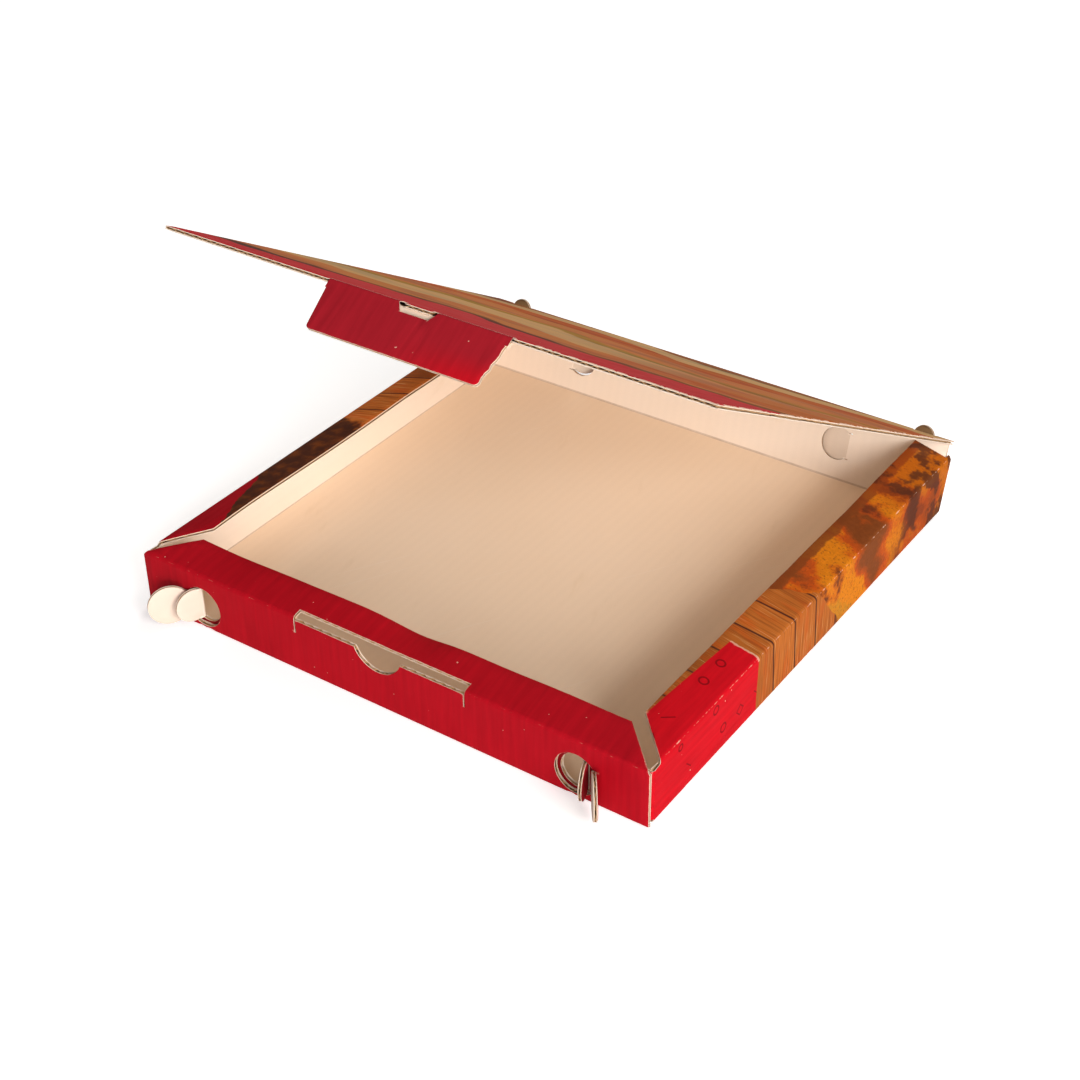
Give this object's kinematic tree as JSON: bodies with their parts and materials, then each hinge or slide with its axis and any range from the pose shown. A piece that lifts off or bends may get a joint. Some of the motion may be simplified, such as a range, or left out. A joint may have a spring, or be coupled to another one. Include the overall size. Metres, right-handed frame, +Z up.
{
  "type": "pizza box",
  "caption": "Shallow square pizza box folded from corrugated board, open, with inward flanges, a hinged lid with a tuck flap, a lock slot and punched vent flaps.",
  "frame": {"origin": "centre of the tray's underside", "axes": "+Z up, +Y towards the hinged back wall, +X to the right seen from the front"},
  "size_m": [0.33, 0.3654, 0.2147],
  "materials": {
    "printed_board": "satin print outside, matt cream liner inside"
  },
  "bodies": {
    "tray": {"tray": "printed_board"},
    "lid": {"lid": "printed_board"},
    "tuck_flap": {"tuck_flap": "printed_board"},
    "front_left_vent": {"front_left_vent": "printed_board"},
    "front_left_tab_vent": {"front_left_tab_vent": "printed_board"},
    "front_right_vent": {"front_right_vent": "printed_board"},
    "front_right_tab_vent": {"front_right_tab_vent": "printed_board"},
    "back_left_vent": {"back_left_vent": "printed_board"},
    "back_right_vent": {"back_right_vent": "printed_board"}
  },
  "joints": [
    {"name": "lid_hinge", "type": "hinge", "parent": "tray", "child": "lid", "pos_m": [0, 0.17517, 0.04497], "axis": [-1, 0, 0], "range_deg": [-30, 150]},
    {"name": "flap_fold", "type": "hinge", "parent": "lid", "child": "tuck_flap", "pos_m": [0, -0.11583, 0.21298], "axis": [1, 0, 0], "range_deg": [-60, 30]},
    {"name": "front_left_vent_crease", "type": "hinge", "parent": "tray", "child": "front_left_vent", "pos_m": [-0.134, -0.1645, 0.01525], "axis": [0, 0, -1], "range_deg": [-126, 4]},
    {"name": "front_left_tab_vent_crease", "type": "hinge", "parent": "tray", "child": "front_left_tab_vent", "pos_m": [-0.128, -0.1617, 0.01525], "axis": [0, 0, -1], "range_deg": [-110.88, 3.52]},
    {"name": "front_right_vent_crease", "type": "hinge", "parent": "tray", "child": "front_right_vent", "pos_m": [0.134, -0.1645, 0.01525], "axis": [0, 0, 1], "range_deg": [-126, 4]},
    {"name": "front_right_tab_vent_crease", "type": "hinge", "parent": "tray", "child": "front_right_tab_vent", "pos_m": [0.128, -0.1617, 0.01525], "axis": [0, 0, 1], "range_deg": [-110.88, 3.52]},
    {"name": "back_left_vent_crease", "type": "hinge", "parent": "tray", "child": "back_left_vent", "pos_m": [-0.101, 0.17026, 0.02372], "axis": [0, 0.2588, 0.9659], "range_deg": [-35, 85]},
    {"name": "back_right_vent_crease", "type": "hinge", "parent": "tray", "child": "back_right_vent", "pos_m": [0.101, 0.17026, 0.02372], "axis": [0, -0.2588, -0.9659], "range_deg": [-4, 116]}
  ],
  "couplings": [
    {"joint": "front_left_tab_vent_crease", "follows": "front_left_vent_crease", "ratio": 0.88},
    {"joint": "front_right_tab_vent_crease", "follows": "front_right_vent_crease", "ratio": 0.88}
  ]
}
